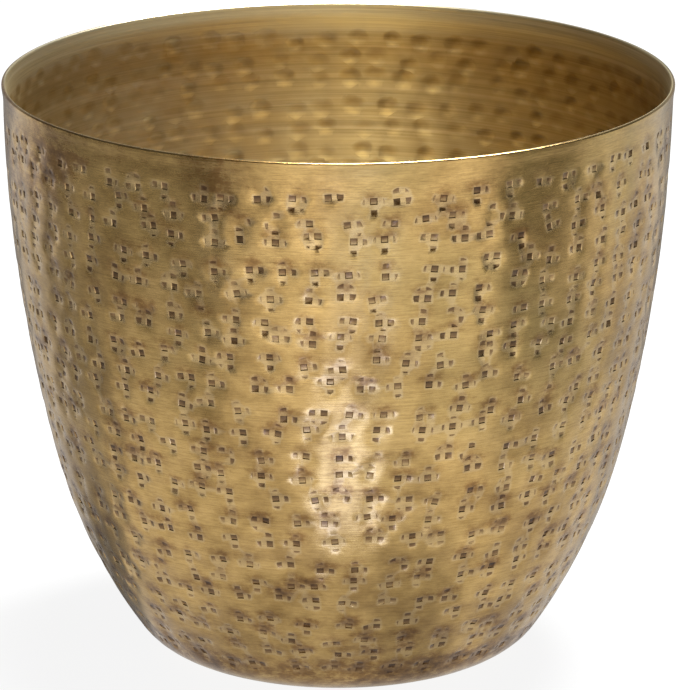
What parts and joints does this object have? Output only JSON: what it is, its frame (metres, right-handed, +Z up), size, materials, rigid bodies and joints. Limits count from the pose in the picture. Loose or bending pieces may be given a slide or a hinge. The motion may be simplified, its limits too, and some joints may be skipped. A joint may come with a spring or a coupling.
{
  "type": "cachepot",
  "caption": "Round metal cachepot with a hammered, brushed antique-brass outside, plain spun inside and thin rim; hides a nursery pot and stands on small stick-on pads.",
  "frame": {"origin": "on the pot's axis, on the surface that its pads stand on", "axes": "+Z up along the pot's axis, towards the open rim; the picture looks along +Y; X to the right in it"},
  "size_m": [0.17, 0.17, 0.15],
  "materials": {
    "antique_brass": "hammered, brushed, dark patina in the marks",
    "pad_rubber": "matt"
  },
  "bodies": {
    "root": {"pot_shell": "antique_brass", "foot_pad_1": "pad_rubber", "foot_pad_2": "pad_rubber", "foot_pad_3": "pad_rubber", "foot_pad_4": "pad_rubber"}
  },
  "joints": []
}
